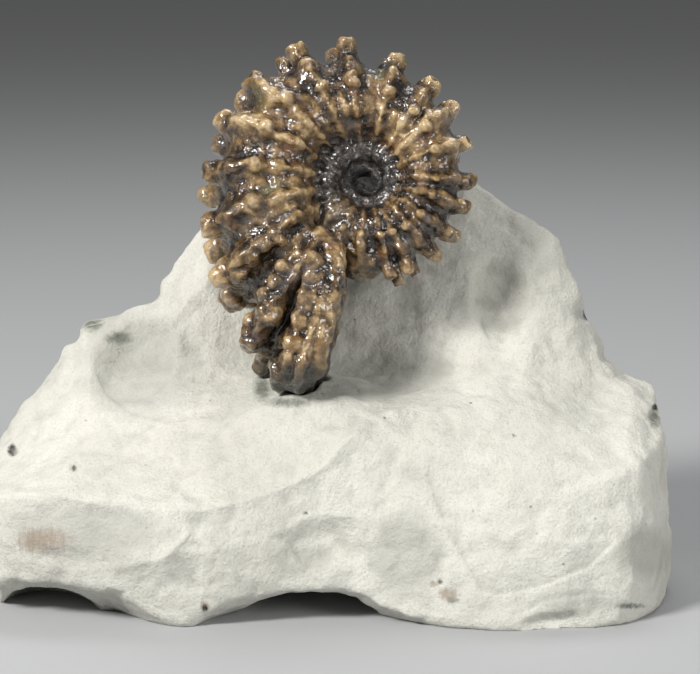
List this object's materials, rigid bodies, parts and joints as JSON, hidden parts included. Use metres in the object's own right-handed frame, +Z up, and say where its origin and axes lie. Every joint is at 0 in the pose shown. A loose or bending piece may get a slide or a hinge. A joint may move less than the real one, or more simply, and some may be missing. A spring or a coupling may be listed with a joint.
{
  "type": "fossil ammonite on matrix",
  "caption": "Coiled fossil shell with strong ribs and rows of blunt pegs, standing upright in a socket on a broken pale stone block.",
  "frame": {"origin": "centre of the bounding box, on the surface that the block rests on", "axes": "+X along the block's length, the coil's near flank faces -Y, +Z up"},
  "size_m": [0.14, 0.0776, 0.1092],
  "materials": {
    "shell": "glossy brown and tan fossil shell, grey-lilac in the umbilicus",
    "marl": "matt pale grey-white marl"
  },
  "bodies": {
    "root": {"ammonite": "shell", "matrix": "marl"}
  },
  "joints": []
}
